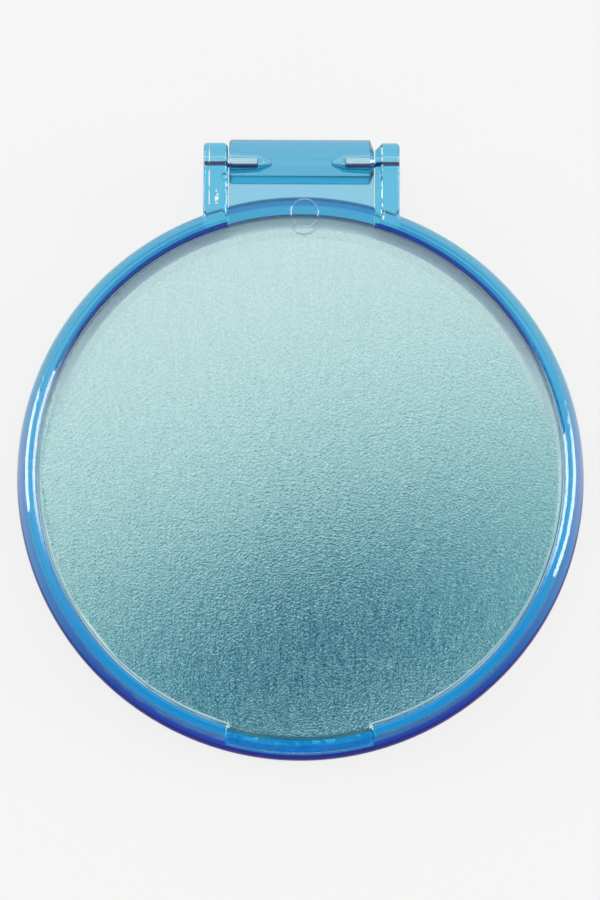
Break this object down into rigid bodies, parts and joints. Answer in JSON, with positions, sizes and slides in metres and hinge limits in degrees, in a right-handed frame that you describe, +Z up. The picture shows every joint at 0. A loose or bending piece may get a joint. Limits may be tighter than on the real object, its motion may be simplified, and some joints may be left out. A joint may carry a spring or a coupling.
{
  "type": "compact mirror",
  "caption": "Round pocket mirror in a transparent blue tray, closed by a frosted lid that swings on a pin hinge and is lifted by a thumb tab.",
  "frame": {"origin": "middle of the base tray's flat bottom face, under the middle of the round mirror", "axes": "+Z up out of the mirror, +Y towards the hinge, +X to the right seen from above with the hinge away"},
  "size_m": [0.062, 0.0682, 0.0065],
  "materials": {
    "base_plastic": "polished, transparent blue",
    "lid_plastic": "transparent blue, frosted on the round outer face",
    "pin_steel": "drawn wire",
    "mirror_glass": "clear, ground edge",
    "mirror_silver": "silvered above, grey paint below",
    "adhesive_foam": "white closed-cell foam tape"
  },
  "bodies": {
    "base": {"base_tray": "base_plastic", "hinge_pin_left": "pin_steel", "hinge_pin_right": "pin_steel", "mirror_glass": "mirror_glass", "mirror_backing": "mirror_silver", "adhesive_pad": "adhesive_foam"},
    "lid": {"lid": "lid_plastic"}
  },
  "joints": [
    {"name": "lid_hinge", "type": "hinge", "parent": "base", "child": "lid", "pos_m": [0, 0.0347, 0.004], "axis": [-1, 0, 0], "range_deg": [0, 180]}
  ]
}
